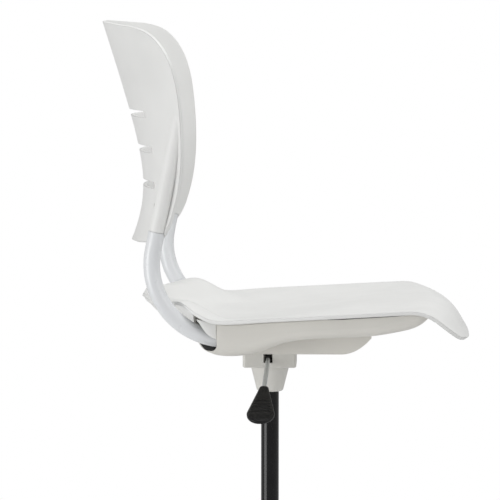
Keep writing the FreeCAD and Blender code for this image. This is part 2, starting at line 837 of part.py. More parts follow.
def side_rail():
    front = rail_mouth_x + rail_wall
    lip = block(rail_rear_x - 5, front, -rail_outer_y - 1, lip_inner_y(), pan_z - 5, pan_z + 110)
    rail = rail_body(0.0).cut(rail_body(rail_wall).cut(lip))
    rail = rail.cut(rail_mouth())
    rail = rail.fuse(rail_inner_features()).removeSplitter()
    rail = rail.cut(space_above_seat())
    rail = rail.cut(pivot_pin_bar())
    for x, z in rail_bolt_points():
        rail = rail.cut(bar(rail_bolt_radius, V(x, -rail_inner_y - 20, z), V(x, -rail_inner_y + 20, z)))
    return max(rail.Solids, key=lambda piece: piece.Volume)


def lip_inner_y():
    return -tube_y - tube_radius - 3.0


def rail_mouth():
    # The opened tail: the outer wall ends at the mouth, with a low lip that sweeps back under the tube.
    top = pan_z + 110.0
    mouth = rail_mouth_x
    lip = pan_z + rail_rise + 9.0
    corner = V(mouth, 0, lip + 11)
    low = V(mouth - 9, 0, lip)
    rise = V(mouth - 20, 0, lip + 4)
    tip = V(mouth - 27, 0, lip + 13)
    edges = [line(V(mouth, 0, top), corner),
             bezier(corner, V(mouth, 0, lip + 3), V(mouth - 4, 0, lip), low),
             bezier(low, low - V(5, 0, 0), rise + V(3, 0, -3), rise), line(rise, tip),
             line(tip, V(mouth - 60, 0, lip + 40)), line(V(mouth - 60, 0, lip + 40), V(mouth - 60, 0, top)),
             line(V(mouth - 60, 0, top), V(mouth, 0, top))]
    depth = lip_inner_y() + rail_outer_y
    opening = moved(Part.Face(Part.Wire(edges)), 0, -rail_outer_y - 1).extrude(V(0, depth + 2, 0))
    inner_y = -tube_y + tube_radius + 3.0
    tube_space = block(rail_rear_x - 30, mouth - 5, lip_inner_y(), inner_y, pan_z - 5, top)
    return opening.fuse(tube_space)


def rail_inner_features():
    level = pan_z + tube_level
    stop_x = tube_end_x - buffer_length
    bridge_z = level + tube_radius + recline_rise + free_gap
    outer_y = -rail_outer_y + rail_wall * 0.5
    inner_y = -rail_inner_y - rail_wall * 0.5
    floor = pan_z + rail_rise + rail_wall * 0.5
    stop = block(stop_x, tube_end_x, -tube_y - 7, -tube_y + 7, floor, level - tube_radius - free_gap)
    bridge = block(stop_x - 5, tube_end_x + 5, outer_y, inner_y,
                   bridge_z, bridge_z + bridge_thickness)
    boss_radius = pivot_pin_radius + 5
    sleeve_half = pivot_sleeve_half() + pivot_bush_wall + free_gap
    inner_boss = bar(boss_radius, V(pivot_x, inner_y, level), V(pivot_x, -tube_y + sleeve_half, level))
    outer_boss = bar(boss_radius, V(pivot_x, -tube_y - sleeve_half, level), V(pivot_x, outer_y, level))
    return [stop, bridge, inner_boss, outer_boss]


def pivot_sleeve_half():
    return tube_radius + 2.0


def pivot_pin_bar():
    level = pan_z + tube_level
    inner_end = V(pivot_x, -rail_inner_y - 1, level)
    outer_end = V(pivot_x, -rail_outer_y + rail_wall + 1, level)
    return bar(pivot_pin_radius, inner_end, outer_end)


def recline_buffer():
    bottom = pan_z + tube_level + tube_radius + free_gap
    top = pan_z + tube_level + tube_radius + recline_rise + free_gap
    return block(tube_end_x - buffer_length, tube_end_x, -tube_y - 8, -tube_y + 8, bottom, top)


def rail_bolt_points():
    return [(0.0, pan_z + 27.0), (95.0, pan_z + 42.0)]


def rail_bolts():
    solids = []
    wall = -rail_inner_y + housing_wall
    for x, z in rail_bolt_points():
        shank = bar(rail_bolt_radius, V(x, -rail_inner_y - rail_wall - 5, z), V(x, wall, z))
        head = turned(hexagon(rail_bolt_radius * 3.4, 0, 4), -90, axis=V(1, 0, 0))
        head = moved(head, x, wall, z)
        nut = turned(hexagon(rail_bolt_radius * 3.4, 0, 4), 90, axis=V(1, 0, 0))
        nut = moved(nut, x, -rail_inner_y - rail_wall, z).cut(shank)
        solids += [shank.fuse(head).removeSplitter(), nut]
    return both_sides(Part.makeCompound(solids))


def housing_profile(inset):
    z0 = pan_z + inset
    top = pan_z + 100.0
    front = housing_front_x - inset
    rear = housing_rear_x + inset
    toe = V(front, 0, z0 + housing_toe)
    heel = V(rear, 0, z0 + housing_toe)
    front_flat = V(front - 45, 0, z0)
    rear_flat = V(rear + 40, 0, z0)
    edges = [line(rear_flat, front_flat),
             bezier(front_flat, front_flat + V(18, 0, 0), toe - V(11, 0, 13), toe),
             line(toe, V(front, 0, top)),
             line(V(front, 0, top), V(rear, 0, top)),
             line(V(rear, 0, top), heel),
             bezier(heel, heel + V(9, 0, -14), rear_flat - V(16, 0, 0), rear_flat)]
    return Part.Face(Part.Wire(edges))


def mechanism_housing():
    half = rail_inner_y
    body = moved(housing_profile(0), 0, -half).extrude(V(0, 2 * half, 0))
    inner_half = half - housing_wall
    body = body.cut(moved(housing_profile(housing_wall), 0, -inner_half).extrude(V(0, 2 * inner_half, 0)))
    for x, y in seat_screw_points():
        body = body.fuse(bar(tower_radius, V(x, y, pan_z), V(x, y, pan_z + tower_height)))
    for y in (-seat_screw_side, seat_screw_side):
        body = body.fuse(block(seat_screw_rear, seat_screw_front, y - 1.5, y + 1.5,
                               pan_z + housing_wall * 0.5, pan_z + tower_height * 0.7))
    for x in (seat_screw_rear, seat_screw_front):
        body = body.fuse(block(x - 1.5, x + 1.5, -half + 1, half - 1, pan_z + housing_wall * 0.5,
                               pan_z + tower_height * 0.6))
    for x, y in seat_screw_points():
        head_z = pan_z + tower_height * 0.6
        body = body.cut(bar(seat_screw_radius * 2.2, V(x, y, pan_z - 1), V(x, y, head_z)))
        top = pan_z + tower_height + 1
        body = body.cut(bar(seat_screw_radius + running_fit, V(x, y, pan_z - 1), V(x, y, top)))
    for x in (-hub_bolt_offset, hub_bolt_offset):
        for y in (-hub_bolt_offset, hub_bolt_offset):
            body = body.cut(bar(hub_bolt_radius, V(x, y, pan_z - 1), V(x, y, pan_z + housing_wall + 1)))
            floor = V(x, y, pan_z + housing_wall)
            body = body.cut(bar(hub_bolt_radius * 2.6, floor, V(x, y, pan_z + tower_height)))
    for x, z in rail_bolt_points():
        body = body.cut(bar(rail_bolt_radius, V(x, -half - 1, z), V(x, half + 1, z)))
    body = body.cut(space_above_seat())
    return body.removeSplitter()


# Uprights, modelled on the right-hand side

def tube_path(start_x):
    level = pan_z + tube_level
    start = V(start_x, -tube_y, level)
    bend = V(tube_bend_x, -tube_y, level)
    centre = V(tube_bend_x, -tube_y, level + tube_bend_radius)
    sweep = math.pi / 2 + tube_lean_angle
    middle = centre + V(-math.sin(sweep / 2), 0, -math.cos(sweep / 2)) * tube_bend_radius
    bend_end = centre + V(-math.sin(sweep), 0, -math.cos(sweep)) * tube_bend_radius
    neck = bend_end + tube_axis() * tube_neck
    return [line(start, bend), arc(bend, middle, bend_end), line(bend_end, neck)], neck


def tube_axis():
    return V(math.sin(tube_lean_angle), 0, math.cos(tube_lean_angle))


def upright():
    path, neck = tube_path(tube_end_x)
    outer = pipe(path, tube_radius).fuse(bar(spigot_radius, neck, neck + tube_axis() * spigot_length))
    inner_path, inner_neck = tube_path(tube_end_x + 1)
    inner = pipe(inner_path, tube_radius - tube_wall)
    throat = bar(spigot_radius - tube_wall, neck - tube_axis(), neck + tube_axis() * (spigot_length + 1))
    shoulder = bar(tube_radius, neck - tube_axis() * tube_wall, neck)
    tube = outer.cut(inner).fuse(shoulder).cut(throat)
    level = pan_z + tube_level
    half = pivot_sleeve_half()
    bush_radius = pivot_pin_radius + pivot_bush_wall
    sleeve_radius_here = bush_radius + pivot_sleeve_wall
    sleeve = bar(sleeve_radius_here, V(pivot_x, -tube_y - half, level), V(pivot_x, -tube_y + half, level))
    hole = bar(bush_radius, V(pivot_x, -tube_y - 40, level), V(pivot_x, -tube_y + 40, level))
    return tube.fuse(sleeve).cut(hole).removeSplitter()


def pivot_bush():
    level = pan_z + tube_level
    half = pivot_sleeve_half()
    bush_radius = pivot_pin_radius + pivot_bush_wall
    solids = []
    for side in (-1, 1):
        end = V(pivot_x, -tube_y + side * half, level)
        centre = V(pivot_x, -tube_y + side * running_fit, level)
        flange_end = end + V(0, side * pivot_bush_wall, 0)
        bush = bar(bush_radius, centre, end).fuse(bar(bush_radius + pivot_sleeve_wall, end, flange_end))
        bore = bar(pivot_pin_radius + running_fit, centre - V(0, side, 0), flange_end + V(0, side, 0))
        solids.append(bush.cut(bore).removeSplitter())
    return Part.makeCompound(solids)


# Back shell

def back_centre_x(z):
    rise = z - back_lumbar_z
    if rise >= 0:
        return back_lumbar_x - math.hypot(back_lean_softness, back_lean * rise) + back_lean_softness
    return back_lumbar_x - rise * rise / back_tail_curve


def back_wrap(z):
    along = max(0.0, min(1.0, (z - back_wrap_low_z) / (back_wrap_high_z - back_wrap_low_z)))
    ease = (1 - math.cos(math.pi * along)) / 2
    return back_wrap_low + (back_wrap_high - back_wrap_low) * (0.35 * ease + 0.65 * along)


def back_point(y, z):
    depth = back_wrap(z)
    radius = (back_half_width ** 2 + depth ** 2) / (2 * depth)
    return V(back_centre_x(z) + radius - math.sqrt(radius ** 2 - y ** 2), y, pan_z + z)


def back_surface():
    across = spaced(-back_half_width - 8, back_half_width + 8, 13)
    heights = spaced(back_bottom - 15, back_top + 15, 15)
    return smooth_face([[back_point(y, z) for y in across] for z in heights])


def back_outline():
    # Front view: a crowned top edge with large corners and a bottom edge that rises to small ones.
    half = back_half_width
    top = pan_z + back_top
    bottom = pan_z + back_bottom
    x = -400.0
    shoulder = V(x, half - back_corner_top, top - 6)
    side_top = V(x, half, top - back_corner_top)
    side_low = V(x, half - 6, bottom + 40)
    corner_low = V(x, half - 28, bottom + 9)
    pull_out = shoulder + V(0, back_corner_top * 0.55, -4)
    pull_up = side_top + V(0, 0, back_corner_top * 0.5)
    corner = bezier(shoulder, pull_out, pull_up, side_top)
    low_corner = bezier(side_low, side_low + V(0, -2.3, -17), corner_low + V(0, 14, 4), corner_low)
    right = [corner, line(side_top, side_low), low_corner]
    left = [mirrored(edge) for edge in reversed(right)]
    other_shoulder = V(x, -shoulder.y, shoulder.z)
    other_corner = V(x, -corner_low.y, corner_low.z)
    edges = [arc(other_shoulder, V(x, 0, top), shoulder)] + right
    edges += [arc(corner_low, V(x, 0, bottom), other_corner)] + left
    return Part.Face(Part.Wire(edges))


def back_slot(z):
    radius = slot_height / 2
    half = slot_half_length - radius
    solid = block(-400, 0, -half, half, z - radius, z + radius)
    for y in (-half, half):
        solid = solid.fuse(bar(radius, V(-400, y, z), V(0, y, z)))
    return solid.removeSplitter()


def sleeve_axis():
    path, neck = tube_path(tube_end_x)
    return neck, tube_axis()


def back_sleeve(front_space):
    mouth, direction = sleeve_axis()
    start = mouth + direction * free_gap
    sleeve = Part.makeCylinder(sleeve_radius, sleeve_length, start, direction)
    return sleeve.cut(front_space)


def back_shell():
    surface = back_surface()
    trimmed = surface.common(back_outline().extrude(V(500, 0, 0))).Faces[0]
    shell = trimmed.makeOffsetShape(back_thickness, 0.001, fill=True)
    if shell.BoundBox.XMax < trimmed.BoundBox.XMax + back_thickness * 0.3:
        shell = trimmed.makeOffsetShape(-back_thickness, 0.001, fill=True)
    for i in range(slot_count):
        shell = shell.cut(back_slot(pan_z + slot_middle_z + slot_pitch * (i - (slot_count - 1) / 2)))
    front_space = moved(surface, back_thickness * 0.9).extrude(V(200, 0, 0))
    sleeve = back_sleeve(front_space)
    shell = shell.fuse([sleeve, mirrored(sleeve)])
    mouth, direction = sleeve_axis()
    bore = bar(spigot_radius + running_fit, mouth - direction * 60, mouth + direction * (spigot_length + 1))
    tube_clear = bar(tube_radius + free_gap, mouth - direction * 60, mouth + direction * free_gap)
    shell = shell.cut([bore, mirrored(bore), tube_clear, mirrored(tube_clear)])
    hole = back_screw_bar().fuse(back_screw_pocket())
    shell = shell.cut([hole, mirrored(hole)])
    return max(shell.Solids, key=lambda piece: piece.Volume)


def back_screw_point():
    mouth, direction = sleeve_axis()
    return mouth + direction * (spigot_length * 0.5)


def back_screw_direction():
    return V(-math.cos(tube_lean_angle), 0, math.sin(tube_lean_angle))


def back_screw_bar():
    point = back_screw_point()
    return bar(back_screw_radius, point, point + back_screw_direction() * (sleeve_radius + 4))


def back_screw_seat():
    return back_screw_point() + back_screw_direction() * (sleeve_radius - back_screw_head)


def back_screw_pocket():
    seat = back_screw_seat()
    return bar(back_screw_radius * 2 + free_gap, seat, seat + back_screw_direction() * 10)


def back_screw():
    direction = back_screw_direction()
    seat = back_screw_seat()
    shank = bar(back_screw_radius, back_screw_point() + direction * (spigot_radius - tube_wall - 2), seat)
    head = bar(back_screw_radius * 2, seat, seat + direction * (back_screw_head - free_gap))
    return shank.fuse(head).removeSplitter()


def parts():
    right_rail = side_rail()
    right_tube = upright().cut(back_screw_bar())
    shapes = {
        "star_base": base_star(),
        "column_tube": column_tube(),
        "column_plate": column_plate(),
        "thrust_bearing": thrust_bearing(),
        "guide_bush": guide_bush(),
        "piston_rod": piston_rod(),
        "rod_clip": rod_clip(),
        "piston": piston(),
        "gas_cylinder": gas_cylinder(),
        "rod_guide": rod_guide(),
        "valve_pin": valve_pin(),
        "foot_ring": foot_ring(),
        "foot_ring_spokes": foot_ring_spokes(),
        "foot_ring_collar": foot_ring_collar(),
        "foot_ring_liner": foot_ring_liner(),
        "foot_ring_knob": foot_ring_knob(),
        "hub": hub(),
        "hub_bolts": hub_bolts(),
        "lever_rod": lever_rod(),
        "lever_paddle": lever_paddle(),
        "lever_pin": lever_pin(),
        "mechanism_housing": mechanism_housing(),
        "rail_right": right_rail,
        "rail_left": mirrored(right_rail),
        "rail_bolts": rail_bolts(),
        "seat_shell": seat_shell(),
        "seat_screws": seat_screws(),
        "upright_right": right_tube,
        "upright_left": mirrored(right_tube),
        "pivot_pins": both_sides(pivot_pin_bar()),
        "pivot_bushes": both_sides(pivot_bush()),
        "recline_buffers": both_sides(recline_buffer()),
        "back_shell": back_shell(),
        "back_screws": both_sides(back_screw()),
    }
    for i in range(caster_count):
        name = "caster_%d_" % (i + 1)
        shapes[name + "hood"] = at_caster(caster_hood(), i)
        shapes[name + "stem"] = at_caster(caster_stem(), i)
        shapes[name + "axle"] = at_caster(caster_axle(), i)
        shapes[name + "wheel_left"] = at_caster(caster_wheel(1), i)
        shapes[name + "wheel_right"] = at_caster(caster_wheel(-1), i)
    return shapes


os.makedirs("parts", exist_ok=True)
for node, shape in parts().items():
    shape.exportStep("parts/%s.step" % node)
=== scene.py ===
import json
import math

import bmesh
import bpy
from mathutils import Euler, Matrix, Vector


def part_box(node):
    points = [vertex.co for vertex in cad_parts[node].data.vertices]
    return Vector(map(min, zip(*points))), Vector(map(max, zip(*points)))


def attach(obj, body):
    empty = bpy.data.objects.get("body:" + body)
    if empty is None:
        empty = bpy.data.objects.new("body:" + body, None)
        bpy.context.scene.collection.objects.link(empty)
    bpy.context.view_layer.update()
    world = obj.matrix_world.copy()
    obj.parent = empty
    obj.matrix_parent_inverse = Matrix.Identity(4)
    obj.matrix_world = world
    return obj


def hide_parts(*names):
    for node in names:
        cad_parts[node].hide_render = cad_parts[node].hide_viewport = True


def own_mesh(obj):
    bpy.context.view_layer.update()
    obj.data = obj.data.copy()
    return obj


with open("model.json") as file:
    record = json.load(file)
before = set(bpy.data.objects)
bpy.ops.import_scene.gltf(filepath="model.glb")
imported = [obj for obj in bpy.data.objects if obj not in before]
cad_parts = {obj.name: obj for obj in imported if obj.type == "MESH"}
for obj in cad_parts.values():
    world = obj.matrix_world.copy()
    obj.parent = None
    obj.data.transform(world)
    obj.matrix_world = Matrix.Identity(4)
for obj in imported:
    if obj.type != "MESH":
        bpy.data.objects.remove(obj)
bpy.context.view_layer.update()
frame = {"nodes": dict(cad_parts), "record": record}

nodes = frame["nodes"]
hands = (("right", -1), ("left", 1))


# Shader helpers

noise_range = (0.3, 0.7)
shade_range = (0.35, 0.65)
rim_samples = 8


def put(node, values):
    for socket, value in values.items():
        node.inputs[socket].default_value = value


def graph(name):
    # A new material, its tree, its shader and the object's own coordinates.
    material = bpy.data.materials.new(name)
    material.use_nodes = True
    tree = material.node_tree
    place = tree.nodes.new("ShaderNodeTexCoord").outputs["Object"]
    return material, tree, tree.nodes["Principled BSDF"], place


def noise(tree, place, scale, detail=3.0, roughness=0.55):
    node = tree.nodes.new("ShaderNodeTexNoise")
    put(node, {"Scale": scale, "Detail": detail, "Roughness": roughness})
    tree.links.new(place, node.inputs["Vector"])
    return node.outputs["Fac"]


def spread(tree, value, low, high, out_low, out_high):
    # Takes a value from the range low to high to the range out_low to out_high.
    node = tree.nodes.new("ShaderNodeMapRange")
    put(node, {"From Min": low, "From Max": high, "To Min": out_low, "To Max": out_high})
    tree.links.new(value, node.inputs["Value"])
    return node.outputs["Result"]


def shades(tree, value, dark, light):
    node = tree.nodes.new("ShaderNodeValToRGB")
    for stop, at, colour in zip(node.color_ramp.elements, shade_range, (dark, light)):
        stop.position = at
        stop.color = (*colour, 1.0)
    tree.links.new(value, node.inputs["Fac"])
    return node.outputs["Color"]


def bump(tree, shader, height, strength, distance, rounding=0.0):
    # Fine relief; with a rounding, sharp rims also shade as if they had that radius.
    node = tree.nodes.new("ShaderNodeBump")
    put(node, {"Strength": strength, "Distance": distance})
    tree.links.new(height, node.inputs["Height"])
    if rounding:
        rim = tree.nodes.new("ShaderNodeBevel")
        rim.samples = rim_samples
        rim.inputs["Radius"].default_value = rounding
        tree.links.new(rim.outputs["Normal"], node.inputs["Normal"])
    tree.links.new(node.outputs["Normal"], shader.inputs["Normal"])


def tint(colour, factor):
    return tuple(min(1.0, c * factor) for c in colour)


def mottled(tree, value, colour, shift):
    return shades(tree, value, tint(colour, 1 - shift), tint(colour, 1 + shift))


def worn(tree, colour, edge_colour, start, end, amount):
    # Edges that hands and shoes rub show a little of edge_colour.
    geometry = tree.nodes.new("ShaderNodeNewGeometry")
    edge = spread(tree, geometry.outputs["Pointiness"], start, end, 0.0, amount)
    mix = tree.nodes.new("ShaderNodeMix")
    mix.data_type = "RGBA"
    tree.links.new(edge, mix.inputs["Factor"])
    tree.links.new(colour, mix.inputs["A"])
    mix.inputs["B"].default_value = (*edge_colour, 1.0)
    return mix.outputs["Result"]


def sheen(tree, shader, value, low, high):
    # An uneven roughness, from low to high.
    tree.links.new(spread(tree, value, *noise_range, low, high), shader.inputs["Roughness"])


# Kinds of finish

def moulded(name, colour, roughness, grain=1400.0, depth=0.00012, specular=0.45, rounding=0.0):
    # Injection-moulded plastic: spark-eroded grain, faint flow shading and uneven sheen.
    flow_scale, flow_detail, flow_shift = 9.0, 2.0, 0.025
    wear_tint, wear_start, wear_end, wear_amount = 1.12, 0.56, 0.68, 0.25
    sheen_scale, sheen_detail, smoother, rougher = 55.0, 4.0, 0.05, 0.06
    grain_detail, grain_roughness, grain_strength = 2.0, 0.6, 0.16
    material, tree, shader, place = graph(name)
    shade = mottled(tree, noise(tree, place, flow_scale, flow_detail), colour, flow_shift)
    shade = worn(tree, shade, tint(colour, wear_tint), wear_start, wear_end, wear_amount)
    tree.links.new(shade, shader.inputs["Base Color"])
    sheen(tree, shader, noise(tree, place, sheen_scale, sheen_detail),
          roughness - smoother, roughness + rougher)
    relief = noise(tree, place, grain, grain_detail, grain_roughness)
    bump(tree, shader, relief, grain_strength, depth, rounding)
    put(shader, {"Specular IOR Level": specular})
    return material


def coated(name, colour, roughness, peel=140.0, depth=0.00008, coat=0.4, uneven=0.04,
           coat_roughness=0.16, specular=0.5):
    # Powder coat or paint over metal: orange peel under a clear skin, brighter on worn edges.
    tone_scale, skin_scale, smoother, rougher = 18.0, 70.0, 0.04, 0.05
    wear_tint, wear_start, wear_end, wear_amount = 1.2, 0.6, 0.72, 0.25
    peel_detail, peel_roughness, peel_strength = 2.0, 0.5, 0.25
    material, tree, shader, place = graph(name)
    shade = mottled(tree, noise(tree, place, tone_scale), colour, uneven)
    shade = worn(tree, shade, tint(colour, wear_tint), wear_start, wear_end, wear_amount)
    tree.links.new(shade, shader.inputs["Base Color"])
    sheen(tree, shader, noise(tree, place, skin_scale), roughness - smoother, roughness + rougher)
    relief = noise(tree, place, peel, peel_detail, peel_roughness)
    bump(tree, shader, relief, peel_strength, depth)
    put(shader, {"Coat Weight": coat, "Coat Roughness": coat_roughness,
                 "Specular IOR Level": specular})
    return material


def turned_metal(name, colour, roughness, stretch=(1.0, 1.0, 26.0), specks=0.04):
    # Drawn or turned steel: fine lines round the bar, and a slightly uneven plating.
    line_scale, line_detail, line_roughness = 160.0, 5.0, 0.7
    line_strength, line_depth = 0.12, 0.00006
    plating_scale, plating_detail, smoother, rougher = 30.0, 4.0, 0.07, 0.09
    material, tree, shader, place = graph(name)
    mapping = tree.nodes.new("ShaderNodeMapping")
    mapping.inputs["Scale"].default_value = stretch
    tree.links.new(place, mapping.inputs["Vector"])
    lines = noise(tree, mapping.outputs["Vector"], line_scale, line_detail, line_roughness)
    shade = mottled(tree, noise(tree, place, plating_scale, plating_detail), colour, specks)
    tree.links.new(shade, shader.inputs["Base Color"])
    sheen(tree, shader, lines, roughness - smoother, roughness + rougher)
    bump(tree, shader, lines, line_strength, line_depth)
    put(shader, {"Metallic": 1.0})
    return material


def soft_rubber(name, colour):
    # Rubber with a faint bloom and a matt, fine skin.
    bloom_scale, bloom_detail, darker, lighter = 24.0, 4.0, 0.85, 1.25
    sheen_scale, smoothest, roughest = 90.0, 0.62, 0.78
    skin_scale, skin_strength, skin_depth = 900.0, 0.4, 0.0002
    material, tree, shader, place = graph(name)
    bloom = noise(tree, place, bloom_scale, bloom_detail)
    shade = shades(tree, bloom, tint(colour, darker), tint(colour, lighter))
    tree.links.new(shade, shader.inputs["Base Color"])
    sheen(tree, shader, noise(tree, place, sheen_scale), smoothest, roughest)
    bump(tree, shader, noise(tree, place, skin_scale), skin_strength, skin_depth)
    return material


# The finishes, one for each material slot of the record

finishes = {
    "shell_grey": moulded("shell_grey", (0.80, 0.802, 0.788), 0.42, rounding=0.0025),
    "rail_grey": moulded("rail_grey", (0.735, 0.719, 0.672), 0.46, rounding=0.001),
    "housing_grey": moulded("housing_grey", (0.71, 0.694, 0.65), 0.5, rounding=0.001),
    "upright_silver": coated("upright_silver", (0.765, 0.78, 0.795), 0.3, peel=900.0,
                             depth=0.000004, uneven=0.01, coat_roughness=0.08),
    "hub_grey": coated("hub_grey", (0.69, 0.68, 0.64), 0.4, peel=260.0, uneven=0.02),
    "column_black": coated("column_black", (0.006, 0.006, 0.0065), 0.16, peel=200.0,
                           depth=0.00001, coat=0.2, coat_roughness=0.05, specular=0.3),
    "base_black": moulded("base_black", (0.022, 0.022, 0.023), 0.46, grain=900.0, depth=0.0002),
    "wheel_black": moulded("wheel_black", (0.018, 0.018, 0.019), 0.38),
    "hood_black": moulded("hood_black", (0.02, 0.02, 0.021), 0.42),
    "grip_black": moulded("grip_black", (0.008, 0.008, 0.0083), 0.38, specular=0.22),
    "bright_steel": turned_metal("bright_steel", (0.62, 0.62, 0.62), 0.24),
    "zinc_steel": turned_metal("zinc_steel", (0.63, 0.63, 0.6), 0.34),
    "lever_steel": turned_metal("lever_steel", (0.68, 0.71, 0.72), 0.3,
                                stretch=(30.0, 1.0, 30.0)),
    "ring_chrome": turned_metal("ring_chrome", (0.78, 0.78, 0.79), 0.12,
                                stretch=(1.0, 1.0, 1.0), specks=0.01),
    "bush_plastic": moulded("bush_plastic", (0.72, 0.71, 0.67), 0.5),
    "bush_black": moulded("bush_black", (0.022, 0.022, 0.022), 0.4),
    "buffer_rubber": soft_rubber("buffer_rubber", (0.02, 0.02, 0.02)),
}

slot_of = {entry["node"]: entry["material_slot"] for entry in frame["record"]["subparts"]}
for node, item in nodes.items():
    for material_slot in item.material_slots:
        material_slot.material = finishes[slot_of[node]]


# Helpers for pieces

def added(name, data):
    item = bpy.data.objects.new(name, data)
    bpy.context.scene.collection.objects.link(item)
    return item


def piece(name, form, slot, body):
    # Turns a bmesh into a finished piece that moves with its body.
    bmesh.ops.recalc_face_normals(form, faces=form.faces)
    mesh = bpy.data.meshes.new(name)
    form.to_mesh(mesh)
    form.free()
    mesh.shade_smooth()
    mesh.materials.append(finishes[slot])
    item = added(name, mesh)
    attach(item, body)
    return item


def smooth_line(points, count):
    # A Catmull-Rom line through the points.
    line = []
    last = len(points) - 1
    for i in range(count + 1):
        at = last * i / count
        k = min(int(at), last - 1)
        t = at - k
        a, b, c, d = (Vector(points[min(max(k + j, 0), last)]) for j in (-1, 0, 1, 2))
        line.append(0.5 * (2 * b + (c - a) * t + (2 * a - 5 * b + 4 * c - d) * t * t
                           + (3 * b - a - 3 * c + d) * t ** 3))
    return line


def bar(sections):
    # A closed bar through rows of four corners.
    form = bmesh.new()
    rows = [[form.verts.new(corner) for corner in section] for section in sections]
    for a, b in zip(rows, rows[1:]):
        for k in range(4):
            form.faces.new((a[k], a[(k + 1) % 4], b[(k + 1) % 4], b[k]))
    form.faces.new(rows[0])
    form.faces.new(rows[-1][::-1])
    return form


def rounded_edges(item, width, segments=2):
    edge = item.modifiers.new("round_edge", "BEVEL")
    edge.width = width
    edge.segments = segments
    return edge


# Back shell with squarer shoulders

shoulder_foot_drop = 0.068
shoulder_height = 0.062
shoulder_full = 0.89
shoulder_half = 0.2
shoulder_inner = 0.132
shoulder_push = 0.02
shoulder_bend_power = 1.8
shoulder_push_power = 2.2
shoulder_share_power = 3
wrap_radius = 0.2563


def squared(point, foot):
    # Moves a point near a shoulder outwards along the wrapped surface, and says by what turn.
    rise = (point.z - foot) / shoulder_height
    if rise <= 0.0:
        return point, 0.0
    bend = max(0.0, 1.0 - rise ** shoulder_bend_power)
    edge = shoulder_inner + (shoulder_half - shoulder_inner) * math.sqrt(bend)
    push = shoulder_push * min(1.0, rise / shoulder_full) ** shoulder_push_power
    share = min(1.0, abs(point.y) / edge) ** shoulder_share_power
    y = point.y + math.copysign(push * share, point.y)
    before = math.asin(point.y / wrap_radius)
    after = math.asin(y / wrap_radius)
    x = point.x + wrap_radius * (math.cos(before) - math.cos(after))
    return Vector((x, y, point.z)), before - after


def square_back():
    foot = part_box("back_shell")[1].z - shoulder_foot_drop
    source = nodes["back_shell"].data
    mesh = source.copy()
    mesh.name = "back_shell_dressed"
    facing = [normal.vector.copy() for normal in source.corner_normals]
    turns = []
    for vertex in mesh.vertices:
        vertex.co, turn = squared(vertex.co, foot)
        turns.append(turn)
    for i, loop in enumerate(mesh.loops):
        facing[i].rotate(Euler((0.0, 0.0, turns[loop.vertex_index])))
    mesh.normals_split_custom_set(facing)
    mesh.materials.clear()
    mesh.materials.append(finishes["shell_grey"])
    shell = added("back_shell_dressed", mesh)
    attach(shell, "back")
    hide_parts("back_shell")


square_back()


# Lever grip with rounded ends and thumb grooves

grip_start = Vector((-0.00620, -0.1144, 0.71228))
grip_along = Vector((-0.04917, -0.90791, -0.41628))
grip_up = Vector((-0.02251, -0.41567, 0.90924))
grip_across = grip_along.cross(grip_up)
grip_length = 0.097
grip_neck_cap = 0.004
grip_end_cap = 0.025
grip_body_end = grip_length - grip_end_cap
grip_neck_half = 0.0064
grip_end_half = 0.0213
grip_above = 0.0051
grip_below = 0.0068
grip_squareness = 0.72
grip_end_power = 2.2
grip_thin_power = 0.7
grip_grooves = (0.045, 0.0525, 0.06, 0.0675, 0.075)
groove_depth = 0.001
groove_reach = 0.0013
groove_power = 4
groove_span = 0.78
groove_span_power = 8
grip_around = 48
grip_neck_steps = 8
grip_body_steps = 90
grip_end_steps = 16


def grip_stations():
    # Distances along the grip, closer together on its rounded ends.
    quarter = math.pi / 2
    neck = [grip_neck_cap * (1 - math.cos(quarter * i / grip_neck_steps))
            for i in range(1, grip_neck_steps)]
    body = [grip_neck_cap + (grip_body_end - grip_neck_cap) * i / grip_body_steps
            for i in range(grip_body_steps + 1)]
    end = [grip_body_end + grip_end_cap * math.sin(quarter * i / grip_end_steps)
           for i in range(1, grip_end_steps)]
    return neck + body + end


def grip_ring(v):
    # The points round the grip at the distance v.
    taper = min(1.0, v / grip_body_end)
    half = grip_neck_half + (grip_end_half - grip_neck_half) * taper
    shut = 1.0
    if v < grip_neck_cap:
        shut = math.sqrt(1 - ((grip_neck_cap - v) / grip_neck_cap) ** 2)
    if v > grip_body_end:
        shut = math.sqrt(1 - ((v - grip_body_end) / grip_end_cap) ** grip_end_power)
    groove = sum(math.exp(-((v - at) / groove_reach) ** groove_power) for at in grip_grooves)
    ring = []
    for i in range(grip_around):
        turn = 2 * math.pi * i / grip_around
        cos, sin = math.cos(turn), math.sin(turn)
        x = half * shut * math.copysign(abs(cos) ** grip_squareness, cos)
        thick = grip_above if sin > 0 else grip_below
        z = thick * shut ** grip_thin_power * math.copysign(abs(sin) ** grip_squareness, sin)
        if sin > 0:
            middle = max(0.0, 1.0 - (abs(x) / (groove_span * half)) ** groove_span_power)
            z -= groove_depth * groove * middle
        ring.append(grip_start + grip_along * v + grip_across * x + grip_up * z)
    return ring


def lever_grip():
    form = bmesh.new()
    rings = [[form.verts.new(p) for p in grip_ring(v)] for v in grip_stations()]
    for a, b in zip(rings, rings[1:]):
        for k in range(len(a)):
            form.faces.new((a[k], a[k - 1], b[k - 1], b[k]))
    for ring, v in ((rings[0], 0.0), (rings[-1], grip_length)):
        pole = form.verts.new(grip_start + grip_along * v)
        for k in range(len(ring)):
            form.faces.new((ring[k], ring[k - 1], pole))
    grip = piece("lever_grip", form, "grip_black", "lever")
    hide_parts("lever_paddle")


lever_grip()


# Rubber buffers that the reclining tubes press flat

pad_rounding = 0.0013
pad_segments = 3
pad_profile = 0.6


